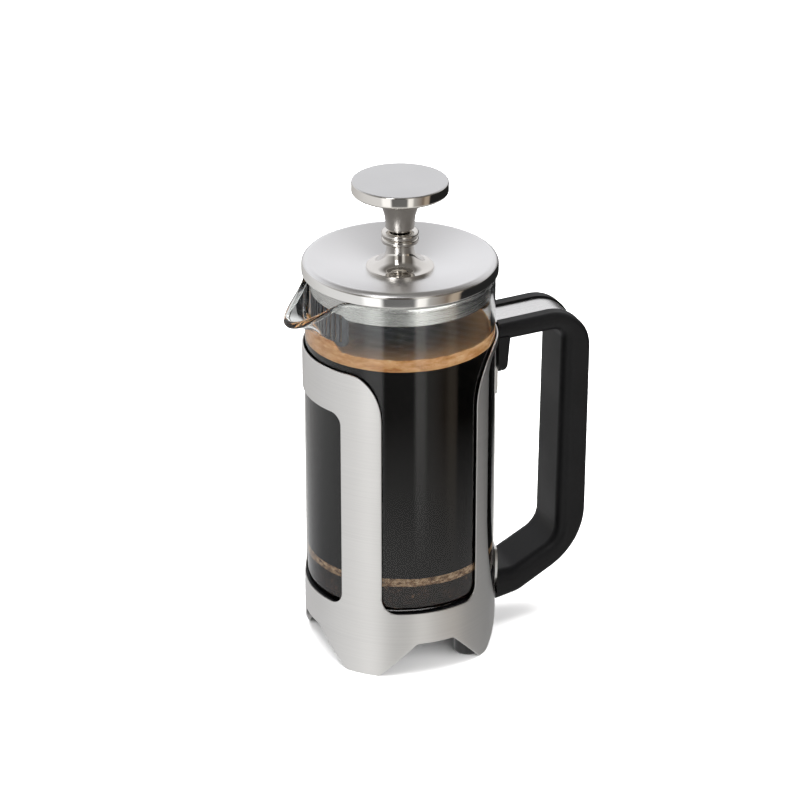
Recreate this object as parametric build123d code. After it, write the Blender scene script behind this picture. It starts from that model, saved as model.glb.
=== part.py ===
from build123d import *
import math
import os

os.makedirs("parts", exist_ok=True)

# Millimetres. The beaker's axis is Z and the table is z = 0.
# The handle points along +X and the spout along -X.

# Steel frame: one rolled sheet with windows and four legs
SLEEVE_R = 35.9            # outside of the sheet
SHEET = 0.6
SLEEVE_IN = SLEEVE_R - SHEET
STEEL_FOOT_Z = 0.6         # bottom edge of the steel legs
ARCH_Z = 13.7              # bottom edge of the sheet between the legs
WINDOW_Z = 26.4            # bottom edge of the spout and side windows
SPOUT_WINDOW_TOP = 104.4
FRONT_TOP = 121.2          # top edge at the spout
REAR_TOP = 124.6           # top edge at the handle
REAR_WINDOW_TOP = 121.3
REAR_WINDOW_Z = 18.0
SPOUT_WINDOW_DEG = 31.2    # half angle about the spout
SIDE_WINDOW_DEG = (57.2, 119.5)
REAR_WINDOW_DEG = (131.9, 167.0)
ARCH_FLAT_DEG = 11.6       # half the flat top of the cut between two legs
LEG_SPREAD_DEG = 34.2      # from the middle of a cut to the next leg's foot
REAR_SPREAD_DEG = 48.0     # the same for the wider cut under the handle

# Base tray and rubber feet
TRAY_TOP = 26.2
TRAY_BOTTOM = 14.4
TRAY_FLOOR = 24.6
TRAY_WALL = 1.3
FOOT_R = 5.2
FOOT_H = 7.0
FOOT_AT = 29.4
FOOT_DEG = (135, 225, -52, 52)

# Handle
GRIP_W = 24.0
GRIP_OUT = 71.9            # outer face, from the axis
GRIP_ROUND = 2.2
STRAP_W = 12.4
STRAP_T = 1.2
STRAP_DROP = 0.8           # how far the strap lies below the two ridges
GRIP_FACE_R = 36.35        # where the grip ends against the sheet
FINGER_ROUND = 4.3         # rounding of the edges under the fingers
STRAP_SCREW_X = 50.0
BRACKET_T = 0.9
BRACKET_Z = (15.5, 33.0)
SCREW_Z = 19.0

# Glass beaker
GLASS_R = 35.0
GLASS_T = 1.6
GLASS_Z = 24.9
GLASS_TOP = 148.9
GLASS_BASE_T = 2.2
GLASS_CORNER = 5.0

# Lid
LID_R = 35.8
LID_T = 0.7
LID_Z = 149.2
LID_RIM_Z = 154.9
LID_CENTRE_Z = 150.1
SKIRT_R = 32.5
SKIRT_T = 0.6
SKIRT_Z = 140.8
STRAINER_Z = 129.8
STRAINER_DEG = 33.0
STUB_R = 5.0
STUB_Z = 145.6
COLLAR_TOP = 164.5
COLLAR_R = 6.8

# Plunger
ROD_R = 2.4
BUSH_R = 3.5
RUNNING_GAP = 0.06
KNOB_R = 17.55
KNOB_TOP = 183.7
KNOB_DISC = 4.5
KNOB_BORE_TOP = KNOB_TOP - KNOB_DISC - 3.0
FILTER_Z = 37.2
FILTER_R = 33.05
MESH_T = 0.4
SPRING_R = 31.4
SPRING_WIRE = 1.0


def rounded(points):
    """Face from (x, y, corner radius) points, in order."""
    edges = []
    starts = []
    ends = []
    count = len(points)
    for i, (x, y, radius) in enumerate(points):
        here = Vector(x, y)
        to_last = (Vector(*points[i - 1][:2]) - here).normalized()
        to_next = (Vector(*points[(i + 1) % count][:2]) - here).normalized()
        if radius == 0:
            starts.append(here)
            ends.append(here)
            continue
        half = math.radians(to_last.get_angle(to_next) / 2)
        inward = (to_last + to_next).normalized()
        start = here + to_last * (radius / math.tan(half))
        end = here + to_next * (radius / math.tan(half))
        middle = here + inward * (radius / math.sin(half) - radius)
        edges.append(Edge.make_three_point_arc(start, middle, end))
        starts.append(start)
        ends.append(end)
    for i in range(count):
        following = starts[(i + 1) % count]
        if (following - ends[i]).length > 1e-6:
            edges.append(Edge.make_line(ends[i], following))
    return Face(Wire(edges))


def turned(points):
    """Solid of revolution about Z from (radius, height, corner radius) points."""
    return revolve(Plane.XZ * rounded(points), Axis.Z)


def tube(outer, inner, low, high):
    """Upright tube about Z, or a rod where the inner radius is 0."""
    body = Pos(0, 0, low) * extrude(Circle(outer), high - low)
    if inner > 0:
        body = body - Pos(0, 0, low) * extrude(Circle(inner), high - low)
    return body


def block(x, y, z):
    """Box between (low, high) pairs along each axis."""
    size = Box(x[1] - x[0], y[1] - y[0], z[1] - z[0])
    return Pos((x[0] + x[1]) / 2, (y[0] + y[1]) / 2, (z[0] + z[1]) / 2) * size


def side_slab(points, width):
    """Slab of the given width about the handle's plane, from (x, z, corner radius) points."""
    return extrude(Plane.XZ * rounded(points), width / 2, both=True)


def wall_cutter(face, degrees):
    """Cutter through one side of the sleeve. The face is drawn as seen from outside,
    and degrees is the angle of its middle from the spout."""
    angle = math.radians(180 + degrees)
    out = Vector(math.cos(angle), math.sin(angle), 0)
    along = Vector(-math.sin(angle), math.cos(angle), 0)
    plane = Plane(origin=out * 8, x_dir=along, z_dir=out)
    return extrude(plane * face, SLEEVE_R, dir=out)


def across(degrees):
    """Distance across a cutter's face for an angle on the sleeve."""
    return SLEEVE_R * math.sin(math.radians(degrees))


def hexagon(width, low, high, hole):
    """Hexagon nut about Z, with its width across flats."""
    body = extrude(RegularPolygon(width / 2, 6, major_radius=False), high - low)
    body = Pos(0, 0, low) * body
    body = chamfer(body.edges().group_by(Axis.Z)[-1], 0.4)
    return body - tube(hole, 0, low - 1, high + 1)


def save(shape, name):
    """Write one named solid."""
    solids = shape.solids()
    if len(solids) != 1:
        raise ValueError(f"{name} has {len(solids)} solids")
    solid = solids[0]
    solid.label = name
    export_step(solid, f"parts/{name}.step")


# ---------------------------------------------------------------- steel frame

def side_window():
    """U window, open at the top, between a front post and a rear post."""
    middle = sum(SIDE_WINDOW_DEG) / 2
    half = across(SIDE_WINDOW_DEG[1] - middle)
    corner = 6.0
    over = REAR_TOP + 10
    front_w = across(middle - 38) - half       # the front post's rounded top corner
    front_h = 17.0
    rear_w = 13.0                              # the rear post's rounded top corner
    rear_h = 20.6
    front_z = FRONT_TOP - front_h
    rear_z = REAR_TOP - rear_h
    front = EllipticalCenterArc((-half - front_w, front_z), front_w, front_h, 0, arc_size=90)
    rear = EllipticalCenterArc((half + rear_w, rear_z), rear_w, rear_h, 90, arc_size=90)
    outline = [
        front.edge(),
        Edge.make_line(front @ 1, (-half - front_w, over)),
        Edge.make_line((-half - front_w, over), (half + rear_w, over)),
        Edge.make_line((half + rear_w, over), rear @ 0),
        rear.edge(),
        Edge.make_line(rear @ 1, (half, WINDOW_Z + corner)),
        CenterArc((half - corner, WINDOW_Z + corner), corner, 0, -90).edge(),
        Edge.make_line((half - corner, WINDOW_Z), (corner - half, WINDOW_Z)),
        CenterArc((corner - half, WINDOW_Z + corner), corner, -90, -90).edge(),
        Edge.make_line((-half, WINDOW_Z + corner), front @ 0),
    ]
    return wall_cutter(Face(Wire(outline)), middle)


def rear_window():
    """Window between a rear post and the middle post that carries the handle."""
    middle = sum(REAR_WINDOW_DEG) / 2
    half = across(REAR_WINDOW_DEG[1] - middle)
    sweep_w = 2 * half - 7                     # long curve at the bottom of the rear post
    sweep_h = 42.0
    top_w = 7.5
    top_h = 8.0
    corner = 4.0
    sweep_z = REAR_WINDOW_Z + sweep_h
    top_z = REAR_WINDOW_TOP - top_h
    sweep = EllipticalCenterArc((sweep_w - half, sweep_z), sweep_w, sweep_h, 180, arc_size=90)
    top = EllipticalCenterArc((top_w - half, top_z), top_w, top_h, 90, arc_size=90)
    low_z = REAR_WINDOW_Z + corner
    high_z = REAR_WINDOW_TOP - corner
    outline = [
        sweep.edge(),
        Edge.make_line(sweep @ 1, (half - corner, REAR_WINDOW_Z)),
        CenterArc((half - corner, low_z), corner, -90, 90).edge(),
        Edge.make_line((half, low_z), (half, high_z)),
        CenterArc((half - corner, high_z), corner, 0, 90).edge(),
        Edge.make_line((half - corner, REAR_WINDOW_TOP), top @ 0),
        top.edge(),
        Edge.make_line(top @ 1, sweep @ 0),
    ]
    return wall_cutter(Face(Wire(outline)), middle)


def leg_arch(degrees, spread_degrees):
    """Cut between two legs, flat on top with slanted sides. spread_degrees is where a leg's foot starts."""
    flat = across(ARCH_FLAT_DEG)
    spread = across(spread_degrees)
    outside = across(spread_degrees + 4)
    low = STEEL_FOOT_Z - 5
    face = rounded([
        (-flat, ARCH_Z, 2.5),
        (flat, ARCH_Z, 2.5),
        (spread, STEEL_FOOT_Z, 2.0),
        (outside, STEEL_FOOT_Z, 0),
        (outside, low, 0),
        (-outside, low, 0),
        (-outside, STEEL_FOOT_Z, 0),
        (-spread, STEEL_FOOT_Z, 2.0),
    ])
    return wall_cutter(face, degrees)


def frame_sleeve():
    """Rolled sheet with a spout window, two side windows, two rear windows and four legs."""
    sleeve = tube(SLEEVE_R, SLEEVE_IN, 0, REAR_TOP)
    half = across(SPOUT_WINDOW_DEG)
    spout_window = rounded([
        (-half, WINDOW_Z, 5),
        (half, WINDOW_Z, 5),
        (half, SPOUT_WINDOW_TOP, 4.5),
        (-half, SPOUT_WINDOW_TOP, 4.5),
    ])
    sleeve -= wall_cutter(spout_window, 0)
    front_edge = -SLEEVE_R * math.cos(math.radians(SIDE_WINDOW_DEG[0]))
    sleeve -= block((-40, front_edge), (-40, 40), (FRONT_TOP, REAR_TOP + 1))
    for cutter in (side_window(), rear_window()):
        sleeve -= cutter
        sleeve -= mirror(cutter, about=Plane.XZ)
    for degrees in (0, 90, 270):
        sleeve -= leg_arch(degrees, LEG_SPREAD_DEG)
    sleeve -= leg_arch(180, REAR_SPREAD_DEG)
    screw_hole = Pos(SLEEVE_IN, 0, SCREW_Z) * Rot(0, 90, 0) * Cylinder(2.0, 6)
    return sleeve - screw_hole


# ---------------------------------------------------------------- base and feet

def foot_places():
    """Corner positions of the four feet."""
    places = []
    for degrees in FOOT_DEG:
        angle = math.radians(degrees)
        places.append((FOOT_AT * math.cos(angle), FOOT_AT * math.sin(angle)))
    return places


def base_tray():
    """Moulded tray that carries the beaker, with a boss over each foot and stiffening ribs."""
    wall_in = SLEEVE_IN - TRAY_WALL
    tray = turned([
        (0, TRAY_FLOOR - 2, 0),
        (wall_in, TRAY_FLOOR - 2, 0),
        (wall_in, TRAY_BOTTOM, 0),
        (SLEEVE_IN, TRAY_BOTTOM, 0.4),
        (SLEEVE_IN, TRAY_TOP, 0.4),
        (wall_in, TRAY_TOP, 0.4),
        (wall_in, TRAY_FLOOR, 0),
        (0, TRAY_FLOOR, 0),
    ])
    rib_top = TRAY_FLOOR - 1.5
    rib_low = TRAY_FLOOR - 5
    for angle in (0, 45, 90, 135):
        rib = block((-wall_in - 0.2, wall_in + 0.2), (-0.7, 0.7), (rib_low, rib_top))
        tray += Rot(0, 0, angle) * rib
    tray += tube(8, 0, rib_low, rib_top)
    tray -= tube(5, 0, rib_low - 1, TRAY_FLOOR - 3)
    for x, y in foot_places():
        tray += Pos(x, y, 0) * tube(FOOT_R - 0.4, 0, FOOT_H, rib_top)
    for x, y in foot_places():
        tray -= Pos(x, y, 0) * tube(2.5, 0, FOOT_H - 1, FOOT_H + 5)
    tray -= block((wall_in - 4, wall_in), (-4.2, 4.2), (SCREW_Z - 4.2, SCREW_Z + 3.6))
    tray -= Pos(wall_in, 0, SCREW_Z) * Rot(0, 90, 0) * Cylinder(2.0, 6)
    return tray


def foot(x, y):
    """Rubber foot with a plug that pushes into the tray's boss."""
    body = turned([
        (0, 0, 0),
        (FOOT_R, 0, 1.4),
        (FOOT_R, FOOT_H, 0.5),
        (2.5, FOOT_H, 0),
        (2.5, FOOT_H + 4.6, 0.8),
        (0, FOOT_H + 4.6, 0),
    ])
    return Pos(x, y, 0) * body


# ---------------------------------------------------------------- handle

def top_line(x):
    """Height of the grip's two top ridges."""
    return 125.6 + 0.055 * (x - 33)


def handle_strap():
    """Steel strap: a leg welded to the sleeve, then along the grip's top and round its corner."""
    outer = GRIP_OUT - STRAP_DROP
    leg_r = SLEEVE_R + STRAP_T
    end_z = 106.0
    corner = 15.5 - STRAP_DROP
    strip = side_slab([
        (SLEEVE_R - 1, top_line(SLEEVE_R) - STRAP_DROP, 0),
        (outer, top_line(outer) - STRAP_DROP, corner),
        (outer, end_z, 0),
        (outer - STRAP_T, end_z, 0),
        (outer - STRAP_T, top_line(outer) - STRAP_DROP - STRAP_T, corner - STRAP_T),
        (SLEEVE_R - 1, top_line(SLEEVE_R) - STRAP_DROP - STRAP_T, 0),
    ], STRAP_W)
    leg = tube(leg_r, SLEEVE_R, 95, top_line(SLEEVE_R) - STRAP_DROP)
    leg &= block((0, 50), (-STRAP_W / 2, STRAP_W / 2), (90, 130))
    strap = leg + strip
    strap -= tube(SLEEVE_R, 0, 80, 140)
    leg_end = strap.edges().filter_by(Axis.X).group_by(Axis.Z)[0]
    strap = fillet(leg_end, 2.5)
    return strap - Pos(STRAP_SCREW_X, 0, 121.2) * Cylinder(1.5, 8)


def grip_outline():
    """Side view of the grip: top arm, vertical bar and curved lower arm."""
    return [
        (33, top_line(33), 0),
        (GRIP_OUT, top_line(GRIP_OUT), 15.5),
        (GRIP_OUT - 0.6, 29.1, 27),
        (44, 13.7, 12),
        (33, 11.6, 0),
        (33, 23.0, 0),
        (43, 23.2, 6),
        (60.0, 32.3, 9),
        (61.1, 119.6, 4),
        (33, 118.4, 0),
    ]


def faces_the_hand(edge):
    """True for a rim edge on the inner side of the grip's loop."""
    x = edge.center().X
    z = edge.center().Z
    return x < 62.8 and 17.5 + 0.33 * (x - 33) < z < 121


def on_the_outside(edge):
    """True for a rim edge on the outer side of the grip."""
    x = edge.center().X
    z = edge.center().Z
    return x > 69 or z > 124.5 or z < 17.5 + 0.33 * (x - 33)


def grip_hook():
    """Short hook under the top arm, against the sleeve."""
    hook = side_slab([(33, 121, 0), (39.7, 121, 0), (38.5, 107, 2.4), (33, 106.8, 0)], GRIP_W)
    sides = hook.faces().filter_by(Axis.Y)
    rims = [edge for face in sides for edge in face.edges() if 34 < edge.center().X]
    return fillet([edge for edge in rims if edge.center().Z < 120], GRIP_ROUND)


def handle_grip():
    """Black grip, well rounded on the side of the fingers, with a channel for the strap."""
    body = side_slab(grip_outline(), GRIP_W)
    sides = body.faces().filter_by(Axis.Y)
    rims = [edge for face in sides for edge in face.edges() if edge.center().X > 33.1]
    body = fillet([edge for edge in rims if faces_the_hand(edge)], FINGER_ROUND)
    sides = body.faces().filter_by(Axis.Y)
    rims = [edge for face in sides for edge in face.edges() if edge.center().X > 33.1]
    body = fillet([edge for edge in rims if on_the_outside(edge)], GRIP_ROUND)
    body += grip_hook()
    body -= tube(GRIP_FACE_R, 0, 0, 150)
    body -= tube(SLEEVE_R + BRACKET_T + 0.05, 0, BRACKET_Z[0] - 0.5, BRACKET_Z[1] + 0.3)
    half = STRAP_W / 2 + 0.15
    slot = tube(SLEEVE_R + STRAP_T + 0.15, 0, 94, 130)
    slot &= block((20, 50), (-half, half), (90, 130))
    body -= slot
    depth = STRAP_DROP + STRAP_T
    corner = 15.5 - depth
    inner = GRIP_OUT - depth
    channel = side_slab([
        (30, top_line(30) - depth, 0),
        (inner, top_line(inner) - depth, corner),
        (inner, 105.8, 0),
        (GRIP_OUT + 5, 105.8, 0),
        (GRIP_OUT + 5, 140, 0),
        (30, 140, 0),
    ], 2 * half)
    body -= channel
    body -= Pos(STRAP_SCREW_X, 0, 120) * Cylinder(3.3, 4.6)
    body -= Pos(STRAP_SCREW_X, 0, 124) * Cylinder(1.45, 8)
    body -= Pos(40, 0, SCREW_Z) * Rot(0, 90, 0) * Cylinder(1.7, 17)
    return body


def lower_bracket():
    """Curved steel plate between the sleeve and the grip's lower end."""
    outer = SLEEVE_R + BRACKET_T
    low, high = BRACKET_Z
    plate = tube(outer, SLEEVE_R, low, high)
    face = rounded([
        (-9, low, 3),
        (9, low, 3),
        (13.3, 26, 3),
        (13.3, high, 4),
        (-13.3, high, 4),
        (-13.3, 26, 3),
    ])
    keep = extrude(Plane(origin=(20, 0, 0), x_dir=(0, 1, 0), z_dir=(1, 0, 0)) * face, 30)
    plate &= keep
    return plate - Pos(SLEEVE_R, 0, SCREW_Z) * Rot(0, 90, 0) * Cylinder(1.9, 8)


def pan_screw(head_r, head_h, shaft_r, length, slot):
    """Pan-head screw with its head's seat at z = 0, pointing up, and a cross-shaped recess."""
    screw = turned([
        (0, -head_h, 0),
        (head_r, -head_h, head_h * 0.55),
        (head_r, 0, 0),
        (shaft_r, 0, 0),
        (shaft_r, length, shaft_r * 0.5),
        (0, length, 0),
    ])
    for size in ((slot, 0.7), (0.7, slot)):
        screw -= Pos(0, 0, -head_h) * Box(size[0], size[1], 1.6)
    return screw


# ---------------------------------------------------------------- beaker

def spout_solid(inset):
    """Pouring spout as a solid that widens upwards. inset makes the inner one."""
    sections = []
    for height, reach, back, tip in ((124.0, 33.0, 6.5, 4.4), (150.0, 54.2, 22.0, 4.8)):
        half = tip - inset * 0.7
        face = rounded([
            (-24, back - inset, 0),
            (-reach + inset * 1.2, half, half * 0.96),
            (-reach + inset * 1.2, -half, half * 0.96),
            (-24, inset - back, 0),
        ])
        sections.append(Pos(0, 0, height) * face)
    return loft(sections)


def beaker():
    """Borosilicate beaker with a rounded base and a drooping pulled spout."""
    inner = GLASS_R - GLASS_T
    outside = turned([
        (0, GLASS_Z, 0),
        (GLASS_R, GLASS_Z, GLASS_CORNER),
        (GLASS_R, GLASS_TOP, 0.5),
        (0, GLASS_TOP, 0),
    ])
    inside = turned([
        (0, GLASS_Z + GLASS_BASE_T, 0),
        (inner, GLASS_Z + GLASS_BASE_T, GLASS_CORNER - GLASS_T),
        (inner, GLASS_TOP + 5, 0),
        (0, GLASS_TOP + 5, 0),
    ])
    glass = outside + spout_solid(0)
    glass -= inside
    glass -= spout_solid(GLASS_T)
    glass -= block((-80, 80), (-80, 80), (GLASS_TOP, GLASS_TOP + 20))
    lip_cut = side_slab([
        (-30.6, 148.0, 0),
        (-62, 124.5, 0),
        (-80, 160, 0),
        (-30.6, 160, 0),
    ], 60)
    return glass - lip_cut


# ---------------------------------------------------------------- lid

def lid_cap():
    """Spun steel lid, dished towards the middle, with a rounded rim band."""
    return turned([
        (STUB_R + 0.05, LID_CENTRE_Z - LID_T, 0),
        (13.5, LID_CENTRE_Z - LID_T, 6),
        (LID_R - LID_T, LID_RIM_Z - LID_T - 0.1, 1.6),
        (LID_R - LID_T, LID_Z, 0),
        (LID_R, LID_Z, 0.3),
        (LID_R, LID_RIM_Z, 2.3),
        (13.5, LID_CENTRE_Z, 6),
        (STUB_R + 0.05, LID_CENTRE_Z, 0),
    ])


def lid_skirt():
    """Inner skirt that keeps the lid on the glass, with a slotted strainer at the spout."""
    skirt = turned([
        (SKIRT_R - SKIRT_T, SKIRT_Z, 0),
        (SKIRT_R, SKIRT_Z, 0.2),
        (SKIRT_R, LID_Z, 0),
        (LID_R - LID_T, LID_Z, 0),
        (LID_R - LID_T, LID_Z + SKIRT_T, 0),
        (SKIRT_R - SKIRT_T, LID_Z + SKIRT_T, 0.5),
    ])
    strainer = tube(SKIRT_R, SKIRT_R - SKIRT_T, STRAINER_Z, SKIRT_Z + 1)
    half = SKIRT_R * math.sin(math.radians(STRAINER_DEG))
    face = rounded([
        (-half, STRAINER_Z, 3),
        (half, STRAINER_Z, 3),
        (half, SKIRT_Z + 1, 0),
        (-half, SKIRT_Z + 1, 0),
    ])
    strainer &= extrude(Plane(origin=(-8, 0, 0), x_dir=(0, -1, 0), z_dir=(-1, 0, 0)) * face, 40)
    skirt += strainer
    for step in range(-6, 7):
        slot = block((-40, -20), (-0.65, 0.65), (STRAINER_Z + 1.8, SKIRT_Z + 1.5))
        skirt -= Rot(0, 0, 4.7 * step) * slot
    return skirt


def lid_dome():
    """Trumpet-shaped boss with a double-ring collar, and a threaded stub through the lid."""
    low = LID_CENTRE_Z
    foot_r = 12.4
    profile = [
        (BUSH_R + RUNNING_GAP, STUB_Z, 0),
        (STUB_R, STUB_Z, 0.5),
        (STUB_R, low, 0),
        (foot_r, low, 0),
        (foot_r, low + 0.9, 0.4),
        (5.0, low + 2.0, 7),
        (5.0, 159.9, 0),
        (COLLAR_R, 159.9, 0.9),
        (COLLAR_R, 162.0, 0.9),
        (6.1, 162.2, 0),
        (COLLAR_R, 162.4, 0.9),
        (COLLAR_R, COLLAR_TOP, 0.9),
        (BUSH_R + RUNNING_GAP, COLLAR_TOP, 0),
    ]
    return turned(profile)


def lid_washer():
    """Flat washer under the lid."""
    low = LID_CENTRE_Z - LID_T - 1
    return tube(9.5, STUB_R + 0.05, low, low + 1)


def lid_nut():
    """Nut that clamps the boss, lid and washer together."""
    high = LID_CENTRE_Z - LID_T - 1
    return hexagon(13.5, high - 2.4, high, STUB_R)


def guide_bush():
    """Plastic bush that the rod slides in."""
    return turned([
        (ROD_R + RUNNING_GAP, STUB_Z - 1.5, 0),
        (STUB_R + 0.6, STUB_Z - 1.5, 0.4),
        (STUB_R + 0.6, STUB_Z - 0.4, 0),
        (BUSH_R, STUB_Z - 0.4, 0),
        (BUSH_R, COLLAR_TOP - 1, 0.3),
        (ROD_R + RUNNING_GAP, COLLAR_TOP - 1, 0),
    ])


# ---------------------------------------------------------------- plunger

def knob():
    """Flat round knob on a shank that flares out below the disc."""
    disc_low = KNOB_TOP - KNOB_DISC
    neck_z = COLLAR_TOP + 0.4
    shank_z = COLLAR_TOP + 1.3
    return turned([
        (ROD_R, neck_z, 0),
        (4.4, neck_z, 0.2),
        (4.4, shank_z, 0),
        (5.3, shank_z, 0.2),
        (5.5, shank_z + 4.7, 14.0),
        (8.9, disc_low, 2.0),
        (KNOB_R, disc_low, 0.9),
        (KNOB_R, KNOB_TOP, 0.6),
        (0, KNOB_TOP, 0),
        (0, KNOB_BORE_TOP, 0),
        (ROD_R, KNOB_BORE_TOP, 0),
    ])


def plunger_rod():
    """Round rod from the filter up into the knob."""
    return tube(ROD_R, 0, FILTER_Z - 3.4, KNOB_BORE_TOP)


def perforated(disc, rings, hole, low, high):
    """Round holes in rings of (radius, count)."""
    for radius, count in rings:
        for step in range(count):
            angle = 2 * math.pi * step / count
            place = Pos(radius * math.cos(angle), radius * math.sin(angle), 0)
            disc -= place * tube(hole, 0, low, high)
    return disc


def cross_plate():
    """Perforated plate under the mesh."""
    low = FILTER_Z - 1
    plate = tube(29, ROD_R, low, FILTER_Z)
    return perforated(plate, ((9.5, 8), (16.5, 12), (23.5, 18)), 2.5, low - 1, FILTER_Z + 1)


def filter_mesh():
    """Mesh disc with its edge turned up against the glass."""
    return turned([
        (ROD_R, FILTER_Z, 0),
        (FILTER_R, FILTER_Z, 0.6),
        (FILTER_R, FILTER_Z + 3.4, 0),
        (FILTER_R - MESH_T, FILTER_Z + 3.4, 0),
        (FILTER_R - MESH_T, FILTER_Z + MESH_T, 0.2),
        (ROD_R, FILTER_Z + MESH_T, 0),
    ])


def filter_spring():
    """Coil spring round the filter's edge, as a ring of its outside size."""
    ring = Torus(SPRING_R - 0.1, SPRING_WIRE)
    return Pos(0, 0, FILTER_Z + MESH_T + SPRING_WIRE) * ring


def top_plate():
    """Pressed plate that holds the mesh and spring down, raised in the middle."""
    low = FILTER_Z + MESH_T
    plate = turned([
        (ROD_R, low + 1.4, 0),
        (8, low + 1.4, 2),
        (11, low + 0.05, 2),
        (30.1, low + 0.05, 0),
        (30.1, low + 0.85, 0),
        (11, low + 0.85, 2),
        (8, low + 2.2, 2),
        (ROD_R, low + 2.2, 0),
    ])
    return perforated(plate, ((15.5, 8), (22.5, 14)), 2.3, low - 1, low + 3)


def hub():
    """Threaded hub on top of the plate, tight on the rod."""
    low = FILTER_Z + MESH_T + 2.2
    return turned([
        (ROD_R, low, 0),
        (5.2, low, 0.3),
        (5.2, low + 2.0, 0.6),
        (3.6, low + 4.6, 0.5),
        (ROD_R, low + 4.6, 0),
    ])


def end_nut():
    """Nut under the filter stack."""
    return hexagon(8, FILTER_Z - 3.4, FILTER_Z - 1, ROD_R)


save(frame_sleeve(), "frame_sleeve")
save(base_tray(), "base_tray")
for number, (foot_x, foot_y) in enumerate(foot_places(), start=1):
    save(foot(foot_x, foot_y), f"foot_{number}")
save(handle_strap(), "handle_strap")
save(handle_grip(), "handle_grip")
save(lower_bracket(), "lower_bracket")
save(Pos(STRAP_SCREW_X, 0, 120.1) * pan_screw(3.0, 1.8, 1.5, 5.0, 3.4), "strap_screw")
save(Pos(33.7, 0, SCREW_Z) * Rot(0, 90, 0) * pan_screw(3.4, 1.8, 1.75, 14.0, 3.8), "grip_screw")
save(beaker(), "beaker")
save(lid_cap(), "lid_cap")
save(lid_skirt(), "lid_skirt")
save(lid_dome(), "lid_dome")
save(lid_washer(), "lid_washer")
save(lid_nut(), "lid_nut")
save(guide_bush(), "guide_bush")
save(knob(), "knob")
save(plunger_rod(), "plunger_rod")
save(cross_plate(), "cross_plate")
save(filter_mesh(), "filter_mesh")
save(filter_spring(), "filter_spring")
save(top_plate(), "top_plate")
save(hub(), "filter_hub")
save(end_nut(), "end_nut")
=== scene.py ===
import math

import bpy
import numpy as np
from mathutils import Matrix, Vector, geometry


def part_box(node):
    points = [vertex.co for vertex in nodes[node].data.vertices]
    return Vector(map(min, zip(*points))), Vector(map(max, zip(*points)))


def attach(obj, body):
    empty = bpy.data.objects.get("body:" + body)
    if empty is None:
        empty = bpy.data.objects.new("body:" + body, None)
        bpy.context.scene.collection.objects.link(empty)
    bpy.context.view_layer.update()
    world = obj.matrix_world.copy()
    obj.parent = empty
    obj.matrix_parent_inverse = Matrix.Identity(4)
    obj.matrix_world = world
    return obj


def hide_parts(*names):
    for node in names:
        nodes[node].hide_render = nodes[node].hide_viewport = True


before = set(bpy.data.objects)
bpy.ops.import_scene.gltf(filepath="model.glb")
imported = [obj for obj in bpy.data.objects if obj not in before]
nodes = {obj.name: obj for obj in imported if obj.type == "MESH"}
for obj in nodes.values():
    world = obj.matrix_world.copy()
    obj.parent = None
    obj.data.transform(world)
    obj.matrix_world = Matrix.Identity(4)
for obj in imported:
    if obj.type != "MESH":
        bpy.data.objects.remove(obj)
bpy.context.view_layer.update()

MM = 0.001


def low(node):
    """Lowest corner of a CAD node."""
    return Vector(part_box(node)[0])


def high(node):
    """Highest corner of a CAD node."""
    return Vector(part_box(node)[1])


# ------------------------------------------------------------------ camera

CAMERA_AZIMUTH = math.radians(-22.0)
CAMERA_DISTANCE = 1.1086
CAMERA_HEIGHT = 0.6183
CAMERA_PITCH = math.radians(25.19)
CAMERA_LENS = 149.6


def add_camera():
    """Long-lens camera above and to the left of the handle."""
    data = bpy.data.cameras.new("camera")
    data.lens = CAMERA_LENS
    data.sensor_width = 36
    data.clip_start = 0.05
    data.clip_end = 20
    camera = bpy.data.objects.new("camera", data)
    camera.location = (
        math.sin(CAMERA_AZIMUTH) * CAMERA_DISTANCE,
        -math.cos(CAMERA_AZIMUTH) * CAMERA_DISTANCE,
        CAMERA_HEIGHT,
    )
    camera.rotation_euler = (math.pi / 2 - CAMERA_PITCH, 0, CAMERA_AZIMUTH)
    bpy.context.scene.collection.objects.link(camera)
    bpy.context.scene.camera = camera


# ------------------------------------------------------------------ node helpers

def fill_ramp(ramp, stops):
    """Sets a colour ramp's stops, in rising order."""
    ramp.elements[0].position = stops[0][0]
    ramp.elements[0].color = (*stops[0][1], 1)
    ramp.elements[1].position = stops[-1][0]
    ramp.elements[1].color = (*stops[-1][1], 1)
    for position, colour in stops[1:-1]:
        ramp.elements.new(position).color = (*colour, 1)


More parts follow.
